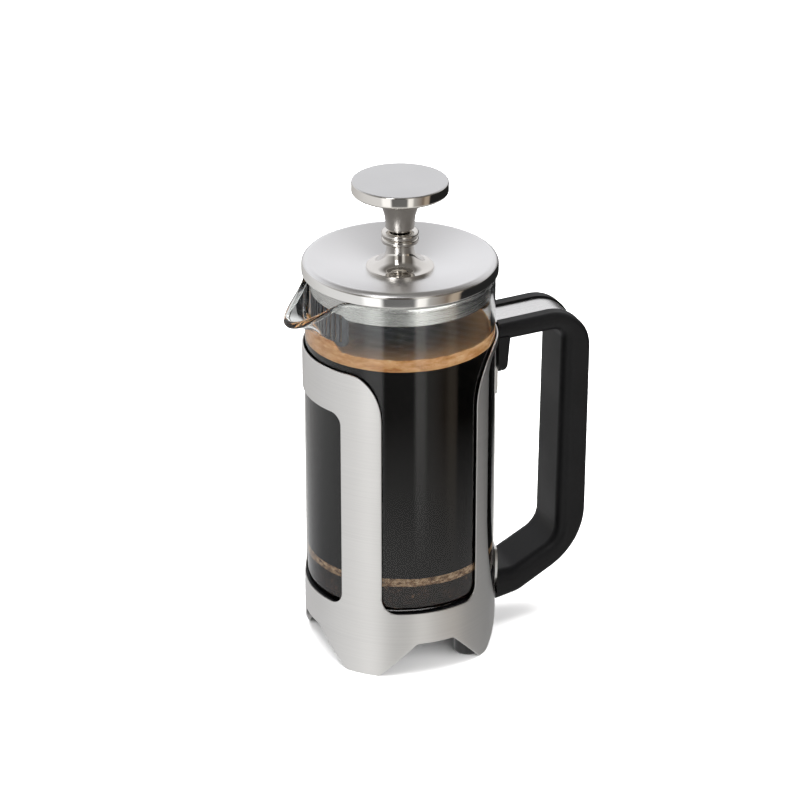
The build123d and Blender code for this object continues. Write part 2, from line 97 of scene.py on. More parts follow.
class Shader:
    """A new material with a Principled shader, and short calls for adding nodes to it."""

    def __init__(self, name, **settings):
        self.material = bpy.data.materials.new(name)
        self.material.use_nodes = True
        self.tree = self.material.node_tree
        self.bsdf = self.tree.nodes["Principled BSDF"]
        for key, value in settings.items():
            self.bsdf.inputs[key.replace("_", " ")].default_value = value

    def add(self, kind, **settings):
        node = self.tree.nodes.new(kind)
        for key, value in settings.items():
            setattr(node, key, value)
        return node

    def link(self, source, target):
        self.tree.links.new(source, target)

    def coordinates(self, scale=(1, 1, 1)):
        """Object coordinates, scaled along each axis."""
        texture = self.add("ShaderNodeTexCoord")
        mapping = self.add("ShaderNodeMapping")
        mapping.inputs["Scale"].default_value = scale
        self.link(texture.outputs["Object"], mapping.inputs["Vector"])
        return mapping.outputs["Vector"]

    def rings(self, scale):
        """Coordinates that change only with the distance from the Z axis."""
        combine = self.add("ShaderNodeCombineXYZ")
        scaled = self.add("ShaderNodeMath", operation="MULTIPLY")
        scaled.inputs[1].default_value = scale
        self.link(self.radius(), scaled.inputs[0])
        self.link(scaled.outputs["Value"], combine.inputs["X"])
        return combine.outputs["Vector"]

    def noise(self, vector, scale=1.0, detail=3.0, roughness=0.5, distortion=0.0):
        """Noise value at some coordinates."""
        node = self.add("ShaderNodeTexNoise")
        node.inputs["Scale"].default_value = scale
        node.inputs["Detail"].default_value = detail
        node.inputs["Roughness"].default_value = roughness
        node.inputs["Distortion"].default_value = distortion
        self.link(vector, node.inputs["Vector"])
        return node.outputs["Fac"]

    def cells(self, vector, scale, feature="F1"):
        """Distance to cell centres at some coordinates."""
        node = self.add("ShaderNodeTexVoronoi", feature=feature)
        node.inputs["Scale"].default_value = scale
        self.link(vector, node.inputs["Vector"])
        return node.outputs["Distance"]

    def spread(self, value, low_in, high_in, low_out, high_out):
        """A value moved from one range to another, clamped."""
        node = self.add("ShaderNodeMapRange")
        node.inputs["From Min"].default_value = low_in
        node.inputs["From Max"].default_value = high_in
        node.inputs["To Min"].default_value = low_out
        node.inputs["To Max"].default_value = high_out
        self.link(value, node.inputs["Value"])
        return node.outputs["Result"]

    def ramp(self, value, stops):
        """Colours by position."""
        node = self.add("ShaderNodeValToRGB")
        fill_ramp(node.color_ramp, stops)
        self.link(value, node.inputs["Fac"])
        return node.outputs["Color"]

    def radius(self):
        """Distance from the Z axis."""
        texture = self.add("ShaderNodeTexCoord")
        flat = self.add("ShaderNodeVectorMath", operation="MULTIPLY")
        flat.inputs[1].default_value = (1, 1, 0)
        length = self.add("ShaderNodeVectorMath", operation="LENGTH")
        self.link(texture.outputs["Object"], flat.inputs[0])
        self.link(flat.outputs["Vector"], length.inputs[0])
        return length.outputs["Value"]

    def blend(self, factor, first, second):
        """One colour where the factor is 0 and the other where it is 1."""
        node = self.add("ShaderNodeMix", data_type="RGBA")
        colours = [i for i in node.inputs if i.type == "RGBA"]
        self.link(factor, node.inputs[0])
        self.link(first, colours[0])
        self.link(second, colours[1])
        return next(o for o in node.outputs if o.type == "RGBA")

    def bump(self, value, strength, distance, after=None):
        """Bump from a value, on top of another bump if one is given."""
        node = self.add("ShaderNodeBump")
        node.inputs["Strength"].default_value = strength
        node.inputs["Distance"].default_value = distance
        self.link(value, node.inputs["Height"])
        if after is not None:
            self.link(after, node.inputs["Normal"])
        return node.outputs["Normal"]

    def feed(self, **links):
        """Links outputs to the Principled shader's sockets."""
        for key, output in links.items():
            self.link(output, self.bsdf.inputs[key.replace("_", " ")])
        return self


# ------------------------------------------------------------------ materials

def brushed_metal(name, colour, rough, grain, bump=0.05, spread=0.1):
    """Satin steel with a fine grain. grain scales the noise along x, y and z."""
    s = Shader(name, Metallic=1.0, Roughness=rough)
    lines = s.noise(s.coordinates(grain), 1.0, 4.0, 0.65)
    cloud = s.noise(s.coordinates((55, 55, 40)), 1.0, 2.0)
    darker = tuple(c * 0.93 for c in colour)
    tone = s.ramp(s.spread(lines, 0.3, 0.7, 0, 1), ((0.0, darker), (1.0, colour)))
    mixed = s.add("ShaderNodeMath", operation="ADD")
    s.link(s.spread(lines, 0.3, 0.7, rough - spread / 2, rough + spread / 2), mixed.inputs[0])
    s.link(s.spread(cloud, 0.3, 0.7, -0.02, 0.03), mixed.inputs[1])
    normal = s.bump(lines, bump, 0.0002)
    return s.feed(Base_Color=tone, Roughness=mixed.outputs["Value"], Normal=normal).material


def spun_metal(name, colour, rough, bump=0.05, spread=0.08):
    """Steel turned or spun about the Z axis, with fine rings."""
    s = Shader(name, Metallic=1.0, Roughness=rough)
    rings = s.noise(s.rings(2600.0), 1.0, 3.0, 0.6)
    cloud = s.noise(s.coordinates((60, 60, 60)), 1.0, 2.0)
    darker = tuple(c * 0.94 for c in colour)
    tone = s.ramp(s.spread(rings, 0.3, 0.7, 0, 1), ((0.0, darker), (1.0, colour)))
    mixed = s.add("ShaderNodeMath", operation="ADD")
    s.link(s.spread(rings, 0.3, 0.7, rough - spread / 2, rough + spread / 2), mixed.inputs[0])
    s.link(s.spread(cloud, 0.3, 0.7, -0.015, 0.02), mixed.inputs[1])
    normal = s.bump(rings, bump, 0.0001)
    return s.feed(Base_Color=tone, Roughness=mixed.outputs["Value"], Normal=normal).material


def polished_metal(name, colour, rough):
    """Polished or plated metal with faint smears."""
    s = Shader(name, Metallic=1.0, Roughness=rough)
    cloud = s.noise(s.coordinates((90, 90, 90)), 1.0, 3.0)
    fine = s.noise(s.coordinates((900, 900, 900)), 1.0, 2.0)
    darker = tuple(c * 0.96 for c in colour)
    tone = s.ramp(cloud, ((0.35, darker), (0.65, colour)))
    rough_out = s.spread(cloud, 0.3, 0.7, rough * 0.7, rough * 1.5)
    return s.feed(Base_Color=tone, Roughness=rough_out, Normal=s.bump(fine, 0.01, 0.0001)).material


def moulded_plastic(name, colour, rough, grain=1400, bump=0.12, gloss=0.5):
    """Moulded plastic with a fine spark-eroded texture."""
    s = Shader(name, Roughness=rough, IOR=1.5, Specular_IOR_Level=gloss)
    grainy = s.noise(s.coordinates((grain, grain, grain)), 1.0, 2.0, 0.6)
    cloud = s.noise(s.coordinates((35, 35, 35)), 1.0, 3.0)
    lighter = tuple(c * 1.35 for c in colour)
    tone = s.ramp(cloud, ((0.35, colour), (0.7, lighter)))
    rough_out = s.spread(cloud, 0.3, 0.7, rough - 0.05, rough + 0.05)
    normal = s.bump(grainy, bump, 0.0001)
    return s.feed(Base_Color=tone, Roughness=rough_out, Normal=normal).material


def clear_glass(name, gloss):
    """Borosilicate glass. gloss sets how strongly it mirrors."""
    s = Shader(name, Roughness=0.0, IOR=1.47, Transmission_Weight=1.0, Specular_IOR_Level=gloss)
    s.bsdf.inputs["Base Color"].default_value = (0.965, 0.98, 0.975, 1)
    waves = s.noise(s.coordinates((24, 24, 9)), 1.0, 1.0)
    return s.feed(Normal=s.bump(waves, 0.06, 0.0006)).material


def coffee_material():
    """Black coffee."""
    s = Shader("coffee", Roughness=0.3, IOR=1.34, Specular_IOR_Level=0.0)
    cloud = s.noise(s.coordinates((40, 40, 20)), 1.0, 2.0)
    tone = s.ramp(cloud, ((0.3, (0.0008, 0.0007, 0.0007)), (0.7, (0.0014, 0.0011, 0.0010))))
    return s.feed(Base_Color=tone).material


def crema_material():
    """Froth: a streaky tan ring at the glass; the top turns dark grey towards the middle, partly thin
    froth over black coffee and partly painted shade and a painted reflection of the lid above.
    """
    s = Shader("crema", Roughness=0.45, Specular_IOR_Level=0.05)
    s.bsdf.inputs["Subsurface Weight"].default_value = 0.25
    s.bsdf.inputs["Subsurface Scale"].default_value = 0.002
    s.bsdf.inputs["Subsurface Radius"].default_value = (1.0, 0.55, 0.3)
    cloud = s.noise(s.coordinates((150, 150, 420)), 1.0, 5.0, 0.65)
    bubbles = s.cells(s.coordinates((1400, 1400, 1400)), 1.0)
    ring = s.ramp(cloud, (
        (0.28, (0.27, 0.110, 0.040)),
        (0.45, (0.43, 0.225, 0.095)),
        (0.60, (0.54, 0.320, 0.160)),
        (0.75, (0.62, 0.430, 0.260)),
    ))
    # Painted shade: the top darkens to a cool grey towards the middle, standing in for the lid's shadow
    # and its reflected underside.
    top_with_painted_shade = s.ramp(s.spread(s.radius(), 0.006, 0.0325, 0, 1), (
        (0.0, (0.026, 0.028, 0.031)),
        (0.30, (0.036, 0.032, 0.029)),
        (0.60, (0.095, 0.060, 0.038)),
        (1.0, (0.260, 0.150, 0.080)),
    ))
    tone = s.blend(s.spread(s.radius(), 0.0322, 0.0332, 0, 1), top_with_painted_shade, ring)
    return s.feed(Base_Color=tone, Normal=s.bump(bubbles, 0.25, 0.0004)).material


def grounds_material():
    """Wet coffee grounds, with pale specks of froth between them."""
    s = Shader("grounds", Roughness=0.35, Specular_IOR_Level=0.05)
    grit = s.noise(s.coordinates((700, 700, 700)), 1.0, 4.0, 0.7)
    patch = s.noise(s.coordinates((130, 130, 200)), 1.0, 3.0)
    mixed = s.add("ShaderNodeMath", operation="MULTIPLY")
    s.link(s.spread(grit, 0.3, 0.75, 0, 1), mixed.inputs[0])
    s.link(s.spread(patch, 0.35, 0.7, 0.35, 1), mixed.inputs[1])
    tone = s.ramp(mixed.outputs["Value"], (
        (0.15, (0.002, 0.001, 0.0008)),
        (0.45, (0.012, 0.006, 0.004)),
        (0.70, (0.085, 0.047, 0.028)),
        (0.95, (0.20, 0.13, 0.08)),
    ))
    return s.feed(Base_Color=tone, Normal=s.bump(grit, 0.4, 0.0005)).material


def low_froth_material():
    """Thin broken froth that lies on the grounds."""
    s = Shader("low_froth", Roughness=0.4, Specular_IOR_Level=0.05)
    patch = s.noise(s.coordinates((520, 520, 800)), 1.0, 5.0, 0.75)
    tone = s.ramp(patch, (
        (0.30, (0.015, 0.008, 0.005)),
        (0.43, (0.09, 0.05, 0.026)),
        (0.55, (0.25, 0.165, 0.095)),
        (0.70, (0.40, 0.30, 0.20)),
    ))
    bubbles = s.cells(s.coordinates((1500, 1500, 1500)), 1.0)
    return s.feed(Base_Color=tone, Normal=s.bump(bubbles, 0.3, 0.0004)).material


SATIN = brushed_metal("satin_steel", (0.73, 0.722, 0.708), 0.36, (14, 14, 2400))
STRAP = brushed_metal("strap_steel", (0.74, 0.735, 0.73), 0.26, (18, 2600, 18))
LID = spun_metal("lid_steel", (0.86, 0.858, 0.86), 0.34, bump=0.04)
LID_RIM = spun_metal("lid_rim_steel", (0.80, 0.79, 0.77), 0.07, bump=0.01)
KNOB_TOP = spun_metal("knob_top_steel", (0.68, 0.68, 0.68), 0.34)
# Painted shade: the skirt is the lid's steel made darker, for the shade inside the beaker under the lid.
SHADED_SKIRT = brushed_metal("skirt_steel_painted_shade", (0.50, 0.495, 0.48), 0.26, (14, 14, 2600))
# Near-black steel: painted shade for the strainer, which sits in the dark under the lid.
SHADED_STRAINER = brushed_metal("strainer_painted_shade", (0.07, 0.073, 0.08), 0.40, (14, 14, 2600))
CHROME = polished_metal("polished_steel", (0.72, 0.695, 0.66), 0.05)
DARK_STEEL = polished_metal("screw_steel", (0.62, 0.62, 0.62), 0.18)
WIRE = polished_metal("wire_steel", (0.66, 0.65, 0.63), 0.16)
PLATE = spun_metal("plate_steel", (0.70, 0.695, 0.685), 0.22)
BLACK = moulded_plastic("black_plastic", (0.0025, 0.0025, 0.0027), 0.42, gloss=0.16)
TRAY = moulded_plastic("tray_plastic", (0.004, 0.004, 0.0045), 0.35, bump=0.04, gloss=0.3)
RUBBER = moulded_plastic("black_rubber", (0.006, 0.006, 0.006), 0.35, 900, 0.10)
WHITE = moulded_plastic("bush_plastic", (0.72, 0.72, 0.69), 0.38, 1200, 0.04)
GLASS = clear_glass("clear_glass", 0.5)
WET_GLASS = clear_glass("wet_glass", 0.07)
COFFEE = coffee_material()
CREMA = crema_material()
GROUNDS = grounds_material()
LOW_FROTH = low_froth_material()

NODE_LOOKS = {
    "base_tray": TRAY,
    "handle_strap": STRAP,
    "handle_grip": BLACK,
    "lower_bracket": SATIN,
    "strap_screw": DARK_STEEL,
    "grip_screw": DARK_STEEL,
    "lid_skirt": SHADED_SKIRT,
    "lid_washer": DARK_STEEL,
    "lid_nut": DARK_STEEL,
    "guide_bush": WHITE,
    "plunger_rod": CHROME,
    "cross_plate": PLATE,
    "top_plate": PLATE,
    "filter_hub": CHROME,
    "end_nut": DARK_STEEL,
    **{f"foot_{number}": RUBBER for number in range(1, 5)},
}
STRAINER_DEPTH = 10.9 * MM


def dress_cad_nodes():
    """Gives each CAD node that stays in view its material. The strainer band low on the skirt gets
    near-black steel, painted shade for the dark behind its slots under the lid.
    """
    for name, material in NODE_LOOKS.items():
        mesh = nodes[name].data
        mesh.materials.clear()
        mesh.materials.append(material)
    skirt = nodes["lid_skirt"].data
    skirt.materials.append(SHADED_STRAINER)
    band_z = low("lid_skirt").z + STRAINER_DEPTH
    # Painted shade: skirt faces near the bottom edge, on the side where x is below zero, get the
    # near-black strainer steel.
    for face in skirt.polygons:
        if face.center.z < band_z and face.center.x < 0:
            face.material_index = 1


# ------------------------------------------------------------------ mesh helpers

def add_mesh(name, points, faces, material, body, smooth_degrees=32):
    """New mesh object that rides on a body."""
    mesh = bpy.data.meshes.new(name)
    mesh.from_pydata([tuple(p) for p in points], [], faces)
    mesh.validate()
    mesh.materials.append(material)
    mesh.shade_smooth()
    mesh.set_sharp_from_angle(angle=math.radians(smooth_degrees))
    obj = bpy.data.objects.new(name, mesh)
    bpy.context.scene.collection.objects.link(obj)
    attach(obj, body)
    return obj


def rounded(points, step_degrees=9):
    """Closed outline in 2-D from (x, y, corner radius) points, with its corners as arcs."""
    outline = []
    count = len(points)
    for i, (x, y, radius) in enumerate(points):
        here = Vector((x, y))
        if radius == 0:
            outline.append(here)
            continue
        to_last = (Vector(points[i - 1][:2]) - here).normalized()
        to_next = (Vector(points[(i + 1) % count][:2]) - here).normalized()
        half = to_last.angle(to_next) / 2
        centre = here + (to_last + to_next).normalized() * (radius / math.sin(half))
        start = here + to_last * (radius / math.tan(half)) - centre
        turn = math.pi - 2 * half
        steps = max(2, math.ceil(math.degrees(turn) / step_degrees))
        side = 1 if to_last.cross(to_next) < 0 else -1
        for k in range(steps + 1):
            angle = side * turn * k / steps
            cos, sin = math.cos(angle), math.sin(angle)
            outline.append(centre + Vector((start.x * cos - start.y * sin, start.x * sin + start.y * cos)))
    return outline


def lathe(name, outline, material, body, segments=192, smooth_degrees=32):
    """Solid of revolution about Z from a closed (radius, height) outline."""
    points = []
    rings = []
    for r, z in outline:
        if r < 1e-7:
            rings.append([len(points)] * segments)
            points.append((0, 0, z))
            continue
        ring = []
        for k in range(segments):
            angle = 2 * math.pi * k / segments
            ring.append(len(points))
            points.append((r * math.cos(angle), r * math.sin(angle), z))
        rings.append(ring)
    faces = []
    for a, b in zip(rings, rings[1:] + rings[:1]):
        for k in range(segments):
            n = (k + 1) % segments
            face = []
            for index in (a[k], a[n], b[n], b[k]):
                if index not in face:
                    face.append(index)
            if len(face) > 2:
                faces.append(face)
    return add_mesh(name, points, faces, material, body, smooth_degrees)


def tube_along(points, radius, sides, closed):
    """Vertices and faces of a round wire along a list of points."""
    path = np.array(points)
    ahead = np.roll(path, -1, axis=0) - np.roll(path, 1, axis=0)
    if not closed:
        ahead[0] = path[1] - path[0]
        ahead[-1] = path[-1] - path[-2]
    ahead /= np.linalg.norm(ahead, axis=1)[:, None]
    up = np.tile((0.0, 0.0, 1.0), (len(path), 1))
    steep = np.abs(ahead[:, 2]) > 0.95
    up[steep] = (1.0, 0.0, 0.0)
    across = np.cross(ahead, up)
    across /= np.linalg.norm(across, axis=1)[:, None]
    lift = np.cross(across, ahead)
    rings = []
    for k in range(sides):
        angle = 2 * math.pi * k / sides
        rings.append(path + radius * (math.cos(angle) * across + math.sin(angle) * lift))
    verts = np.stack(rings, axis=1).reshape(-1, 3)
    faces = []
    count = len(path)
    for i in range(count if closed else count - 1):
        j = (i + 1) % count
        for k in range(sides):
            n = (k + 1) % sides
            faces.append((i * sides + k, i * sides + n, j * sides + n, j * sides + k))
    if not closed:
        faces.append(tuple(range(sides)))
        faces.append(tuple((count - 1) * sides + k for k in reversed(range(sides))))
    return verts, faces


def joined(parts):
    """Several (vertices, faces) pairs as one."""
    verts = []
    faces = []
    start = 0
    for part_verts, part_faces in parts:
        verts.extend(part_verts)
        faces.extend(tuple(i + start for i in face) for face in part_faces)
        start += len(part_verts)
    return verts, faces


# ------------------------------------------------------------------ steel frame

SLEEVE_R = high("frame_sleeve").y
SHEET = 0.6 * MM
ARCH_Z = 13.7 * MM
FOOT_Z = low("frame_sleeve").z
WINDOW_Z = 26.4 * MM
SPOUT_TOP = 104.4 * MM
FRONT_TOP = 121.2 * MM
REAR_TOP = high("frame_sleeve").z
REAR_WINDOW = (18.0 * MM, 121.3 * MM)
EDGE_BEVEL = 0.14 * MM

# Angles from the spout: the spout window's edge, the front window's edges with the ends of the
# curves above them, and the rear window's edges.
SPOUT_EDGE = 31.2
FRONT_SWEEP = 38.0
FRONT_EDGES = (57.2, 119.5)
REAR_SWEEP = 149.5
REAR_EDGES = (131.9, 167.0)

# Angles from the spout: where one arch ends, the leg's foot, and where the next arch starts.
LEGS = (
    (11.6, 34.4, 55.6, 78.4),
    (101.6, 124.4, 132.2, 168.4),
)


def on_sheet(degrees, z):
    """Point on the unrolled sheet, for an angle from the spout."""
    return Vector((math.radians(degrees) * SLEEVE_R, z))


def quarter(centre, size, start, turn, steps=14):
    """Points along a quarter ellipse, from a start angle, in degrees."""
    points = []
    for k in range(steps + 1):
        angle = math.radians(start + turn * k / steps)
        points.append(centre + Vector((size[0] * math.cos(angle), size[1] * math.sin(angle))))
    return points


def half_sheet_outline():
    """Outline of half of the unrolled sheet, from the spout's middle to the handle's."""
    arch = 9
    outline = [on_sheet(0, ARCH_Z)]
    for arch_end, foot_start, foot_end, arch_start in LEGS:
        leg = [
            (*on_sheet(arch_end - arch, ARCH_Z), 0),
            (*on_sheet(arch_end, ARCH_Z), 2.5 * MM),
            (*on_sheet(foot_start, FOOT_Z), 2.0 * MM),
            (*on_sheet(foot_end, FOOT_Z), 2.0 * MM),
            (*on_sheet(arch_start, ARCH_Z), 2.5 * MM),
            (*on_sheet(arch_start + arch, ARCH_Z), 0),
        ]
        outline += rounded(leg)[1:-1]
    outline.append(on_sheet(180, ARCH_Z))
    outline.append(on_sheet(180, REAR_TOP))
    rear_h = 20.6 * MM
    rear_edge = on_sheet(FRONT_EDGES[1], REAR_TOP - rear_h)
    rear_w = on_sheet(REAR_SWEEP, 0).x - rear_edge.x
    outline += quarter(rear_edge + Vector((rear_w, 0)), (rear_w, rear_h), 90, 90)
    corner = 6.0 * MM
    low_right = on_sheet(FRONT_EDGES[1], WINDOW_Z) + Vector((-corner, corner))
    low_left = on_sheet(FRONT_EDGES[0], WINDOW_Z) + Vector((corner, corner))
    outline += quarter(low_right, (corner, corner), 0, -90)
    outline += quarter(low_left, (corner, corner), -90, -90)
    front_h = 17.0 * MM
    front_edge = on_sheet(FRONT_EDGES[0], FRONT_TOP - front_h)
    front_w = front_edge.x - on_sheet(FRONT_SWEEP, 0).x
    outline += quarter(front_edge - Vector((front_w, 0)), (front_w, front_h), 0, 90)
    outline.append(on_sheet(0, FRONT_TOP))
    outline.append(on_sheet(0, SPOUT_TOP))
    top_corner = 4.6 * MM
    low_corner = 5.2 * MM
    edge = on_sheet(SPOUT_EDGE, 0).x
    outline += quarter(Vector((edge - top_corner, SPOUT_TOP - top_corner)), (top_corner,) * 2, 90, -90)
    outline += quarter(Vector((edge - low_corner, WINDOW_Z + low_corner)), (low_corner,) * 2, 0, -90)
    outline.append(on_sheet(0, WINDOW_Z))
    return outline


def rear_window_outline():
    """Outline of one rear window on the unrolled sheet."""
    low_z, high_z = REAR_WINDOW
    left, right = (on_sheet(degrees, 0).x for degrees in REAR_EDGES)
    sweep = (right - left - 7 * MM, 42 * MM)
    top = (7.5 * MM, 8 * MM)
    corner = 4.0 * MM
    outline = quarter(Vector((left + sweep[0], low_z + sweep[1])), sweep, 180, 90, 24)
    outline += quarter(Vector((right - corner, low_z + corner)), (corner,) * 2, -90, 90)
    outline += quarter(Vector((right - corner, high_z - corner)), (corner,) * 2, 0, 90)
    outline += quarter(Vector((left + top[0], high_z - top[1])), top, 90, 90)
    return outline


def resampled(outline, spacing):
    """Closed outline with no side longer than the spacing."""
    dense = []
    for a, b in zip(outline, outline[1:] + outline[:1]):
        pieces = max(1, math.ceil((b - a).length / spacing))
        for k in range(pieces):
            dense.append(a.lerp(b, k / pieces))
    return dense


def inside(point, outline):
    """True if a 2-D point is inside a closed outline."""
    x, y = point
    result = False
    for a, b in zip(outline, outline[1:] + outline[:1]):
        if (a.y > y) != (b.y > y) and x < (b.x - a.x) * (y - a.y) / (b.y - a.y) + a.x:
            result = not result
    return result


def clean_loop(outline):
    """Outline with points that are almost the same left out."""
    kept = []
    for point in outline:
        if not kept or (point - kept[-1]).length > 1e-6:
            kept.append(point)
    if (kept[0] - kept[-1]).length < 1e-6:
        kept.pop()
    return kept


def build_sleeve():
    """Rolled sheet: the half outline is filled with triangles, mirrored, wrapped round and thickened."""
    spacing = 1.2 * MM
    outer = resampled(clean_loop(half_sheet_outline()), spacing)
    window = resampled(clean_loop(rear_window_outline()), spacing)
    points = outer + window
    edges = [(i, (i + 1) % len(outer)) for i in range(len(outer))]
    first = len(outer)
    edges += [(first + i, first + (i + 1) % len(window)) for i in range(len(window))]
    width = on_sheet(180, 0).x
    columns = 84
    rows = 60
    margin = 0.7 * MM
    boundary = np.array([tuple(p) for p in points])
    for i in range(1, columns):
        for j in range(rows):
            p = Vector((width * i / columns, FOOT_Z + (REAR_TOP - FOOT_Z) * (j + 0.5) / rows))
            if np.min(np.hypot(boundary[:, 0] - p.x, boundary[:, 1] - p.y)) < margin:
                continue
            if inside(p, outer) and not inside(p, window):
                points.append(p)
    verts, _, faces, *_ = geometry.delaunay_2d_cdt(points, edges, [], 1, 1e-7)
    kept = []
    for face in faces:
        middle = sum((verts[i] for i in face), Vector((0, 0))) / len(face)
        if inside(middle, outer) and not inside(middle, window):
            kept.append(tuple(face))
    wrapped = []
    for side in (-1, 1):
        for p in verts:
            angle = math.pi + side * p.x / SLEEVE_R
            wrapped.append((SLEEVE_R * math.cos(angle), SLEEVE_R * math.sin(angle), p.y))
    count = len(verts)
    all_faces = [tuple(reversed(face)) for face in kept]
    all_faces += [tuple(i + count for i in face) for face in kept]
    sleeve = add_mesh("steel_frame", wrapped, all_faces, SATIN, "frame", 60)
    weld = sleeve.modifiers.new("weld", "WELD")
    weld.merge_threshold = 1e-5
    thick = sleeve.modifiers.new("thickness", "SOLIDIFY")
    thick.thickness = SHEET
    thick.offset = -1
    thick.use_even_offset = True
    edge = sleeve.modifiers.new("edge", "BEVEL")
    edge.width = EDGE_BEVEL
    edge.segments = 2
    edge.limit_method = "ANGLE"
    edge.angle_limit = math.radians(50)
    normals = sleeve.modifiers.new("normals", "WEIGHTED_NORMAL")
    normals.keep_sharp = False
    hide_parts("frame_sleeve")


# ------------------------------------------------------------------ glass beaker

GLASS_R = high("beaker").y
GLASS_T = 1.6 * MM
GLASS_Z = low("beaker").z
RIM_Z = high("beaker").z
BASE_T = 2.2 * MM
NECK_Z = 130.5 * MM
SPOUT_REACH = 8.7 * MM
SPOUT_DROP = 14.0 * MM
RIM_BEAD = 0.25 * MM
LIP_BEAD = 0.55 * MM

# Angles from the spout's middle at which its bulge, its dip and the plain rim's bead run out.
BULGE_WIDTH = 28.5
DIP_WIDTH = 44
BEAD_GAP = 39


def fade(degrees, width):
    """1 in the middle of the spout, falling smoothly to 0 at the given angle from it."""
    if abs(degrees) >= width:
        return 0.0
    return math.cos(math.radians(90 * degrees / width)) ** 2


def wall_point(angle, u):
    """Point on the outside of the glass above the neck, u from 0 at the neck to 1 at the rim."""
    degrees = math.degrees(math.remainder(angle - math.pi, 2 * math.pi))
    reach = SPOUT_REACH * fade(degrees, BULGE_WIDTH) * u ** 1.8
    drop = SPOUT_DROP * fade(degrees, DIP_WIDTH) ** 1.25
    bead = RIM_BEAD * max(0.0, (u - 0.93) / 0.07) ** 2 * (1 - fade(degrees, BEAD_GAP))
    r = GLASS_R - RIM_BEAD + bead + reach
    z = NECK_Z + (RIM_Z - 0.8 * MM - drop - NECK_Z) * u
    return (r * math.cos(angle), r * math.sin(angle), z)


def build_beaker():
    """Beaker as one closed glass shell with a rounded base, a rolled rim and a drooping spout."""
    segments = 240
    levels = 44
    angles = [2 * math.pi * k / segments for k in range(segments)]
    heights = [(i / levels) ** 0.8 for i in range(levels + 1)]
    grid = np.array([[wall_point(a, u) for a in angles] for u in heights])
    along = np.roll(grid, -1, axis=1) - np.roll(grid, 1, axis=1)
    up = np.gradient(grid, axis=0)
    normal = np.cross(along, up)
    normal /= np.linalg.norm(normal, axis=2)[:, :, None]
    up /= np.linalg.norm(up, axis=2)[:, :, None]
    inner_grid = grid - GLASS_T * normal
    wall_r = GLASS_R - RIM_BEAD
    circle = np.array([(math.cos(a), math.sin(a), 0) for a in angles])

    def profile(points):
        return [circle * r + np.array((0, 0, z)) for r, z in points]

    corner = 5.0 * MM
    outside = rounded([(0, GLASS_Z, 0), (wall_r, GLASS_Z, corner), (wall_r, NECK_Z, 0)])
    base = GLASS_Z + BASE_T
    inner_r = wall_r - GLASS_T
    inner = rounded([(0, base, 0), (inner_r, base, corner - GLASS_T), (inner_r, NECK_Z, 0)])
    rings = profile(outside[1:-1])
    stretch = 12
    for k in range(1, stretch):
        z = outside[-2].y + (NECK_Z - outside[-2].y) * k / stretch
        rings += profile([(wall_r, z)])
    rings += list(grid[:-1])
    middle = (grid[-1] + inner_grid[-1]) / 2
    from_spout = [math.degrees(math.remainder(a - math.pi, 2 * math.pi)) for a in angles]
    lip = np.array([fade(degrees, DIP_WIDTH) for degrees in from_spout])
    bead = (GLASS_T / 2 + LIP_BEAD * lip)[:, None]
    bead_steps = 15
    for k in range(bead_steps):
        angle = math.radians(-35 + 250 * k / (bead_steps - 1))
        offset = math.cos(angle) * normal[-1] + math.sin(angle) * up[-1]
        rings.append(middle + offset * bead)
    rings += list(inner_grid[-2::-1])
    for k in range(stretch - 1, 0, -1):
        z = inner[-2].y + (NECK_Z - inner[-2].y) * k / stretch
        rings += profile([(inner_r, z)])
    rings += profile(inner[-2:0:-1])
    points = [(0, 0, GLASS_Z)] + [tuple(p) for ring in rings for p in ring] + [(0, 0, base)]
    faces = []
    for k in range(segments):
        n = (k + 1) % segments
        faces.append((0, 1 + n, 1 + k))
        last = 1 + (len(rings) - 1) * segments
        faces.append((len(points) - 1, last + k, last + n))
        for i in range(len(rings) - 1):
            a = 1 + i * segments
            b = a + segments
            faces.append((a + k, a + n, b + n, b + k))
    glass = add_mesh("glass_beaker", points, faces, GLASS, "beaker", 80)
    glass.data.materials.append(WET_GLASS)
    for face in glass.data.polygons:
        if face.center.z < WET_TOP:
            face.material_index = 1
    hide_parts("beaker")
    return inner_r


# ------------------------------------------------------------------ coffee

COFFEE_TOP = 123.6 * MM
WET_TOP = 140 * MM
FOAM_DEPTH = 4.5 * MM
BANK = 4.0 * MM
GROUNDS_TOP = 36.9 * MM
LOW_FROTH_TOP = 40.0 * MM


def wobble(angle, seed, size):
    """Smooth repeatable unevenness round a circle."""
    total = 0.0
    for k in range(1, 9):
        phase = math.sin(seed * 12.9898 + k * 78.233) * 43758.5453
        total += math.sin(angle * (2 * k + 1) + phase) / k ** 0.7
    return size * total / 3.0


def build_layer(name, radius, floor, inner_r, top, material):
    """Ring against the inside of the glass, with an uneven top edge. top gives its height by angle."""
    segments = 360
    points = []
    for k in range(segments):
        angle = 2 * math.pi * k / segments
        cos, sin = math.cos(angle), math.sin(angle)
        edge = top(angle)
        for r, z in ((inner_r, floor), (radius, floor), (radius, edge), (inner_r, edge)):
            points.append((r * cos, r * sin, z))
    faces = []
    for k in range(segments):
        n = (k + 1) % segments
        for i in range(4):
            j = (i + 1) % 4
            faces.append((4 * k + i, 4 * k + j, 4 * n + j, 4 * n + i))
    return add_mesh(name, points, faces, material, "beaker", 40)


def crema_height(x, y):
    """Height of the froth's top: a thicker bank on the spout side, and small lumps."""
    angle = math.degrees(math.atan2(-y, -x))
    r = math.hypot(x, y) / GLASS_R
    bank = BANK * max(0.0, min(1.0, (30 - abs(angle)) / 7)) * r ** 4
    lumps = wobble(math.atan2(y, x) + 3 * r, 3 + round(r * 4), 0.22 * MM)
    ripple = 0.12 * MM * math.sin(x * 900) * math.cos(y * 760)
    dish = 0.8 * MM * (1 - r)
    return COFFEE_TOP + FOAM_DEPTH + bank + lumps * r + ripple - dish


